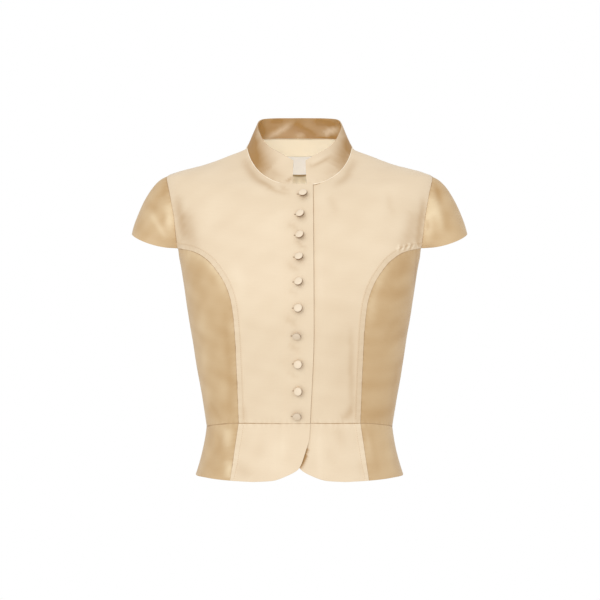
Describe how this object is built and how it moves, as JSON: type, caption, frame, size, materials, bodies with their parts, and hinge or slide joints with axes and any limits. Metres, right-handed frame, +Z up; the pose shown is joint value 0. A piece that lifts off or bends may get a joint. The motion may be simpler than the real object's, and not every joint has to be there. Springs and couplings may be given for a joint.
{
  "type": "jacket",
  "caption": "Short fitted jacket with a stand collar, cap sleeves, a lapped button front and a flared peplum, in the hollow form it takes when worn.",
  "frame": {"origin": "centre of the neck, midway between the two points where the shoulder seams meet the collar", "axes": "+Z up the body, -Y to the wearer's front, +X to the wearer's left"},
  "size_m": [0.489, 0.2282, 0.5155],
  "materials": {
    "champagne_satin": "duchess satin, soft sheen",
    "cream_lining": "plain lining twill",
    "white_label": "plain woven label, blank",
    "covered_button_satin": "satin stretched over a dome"
  },
  "bodies": {
    "root": {"back": "champagne_satin", "back_lining": "cream_lining", "button_01": "covered_button_satin", "button_02": "covered_button_satin", "button_03": "covered_button_satin", "button_04": "covered_button_satin", "button_05": "covered_button_satin", "button_06": "covered_button_satin", "button_07": "covered_button_satin", "button_08": "covered_button_satin", "button_09": "covered_button_satin", "button_10": "covered_button_satin", "collar": "champagne_satin", "front_left": "champagne_satin", "front_right": "champagne_satin", "label": "white_label", "peplum_back": "champagne_satin", "peplum_front_left": "champagne_satin", "peplum_front_right": "champagne_satin", "peplum_side_left": "champagne_satin", "peplum_side_right": "champagne_satin", "side_left": "champagne_satin", "side_right": "champagne_satin", "sleeve_left": "champagne_satin", "sleeve_right": "champagne_satin"}
  },
  "joints": []
}
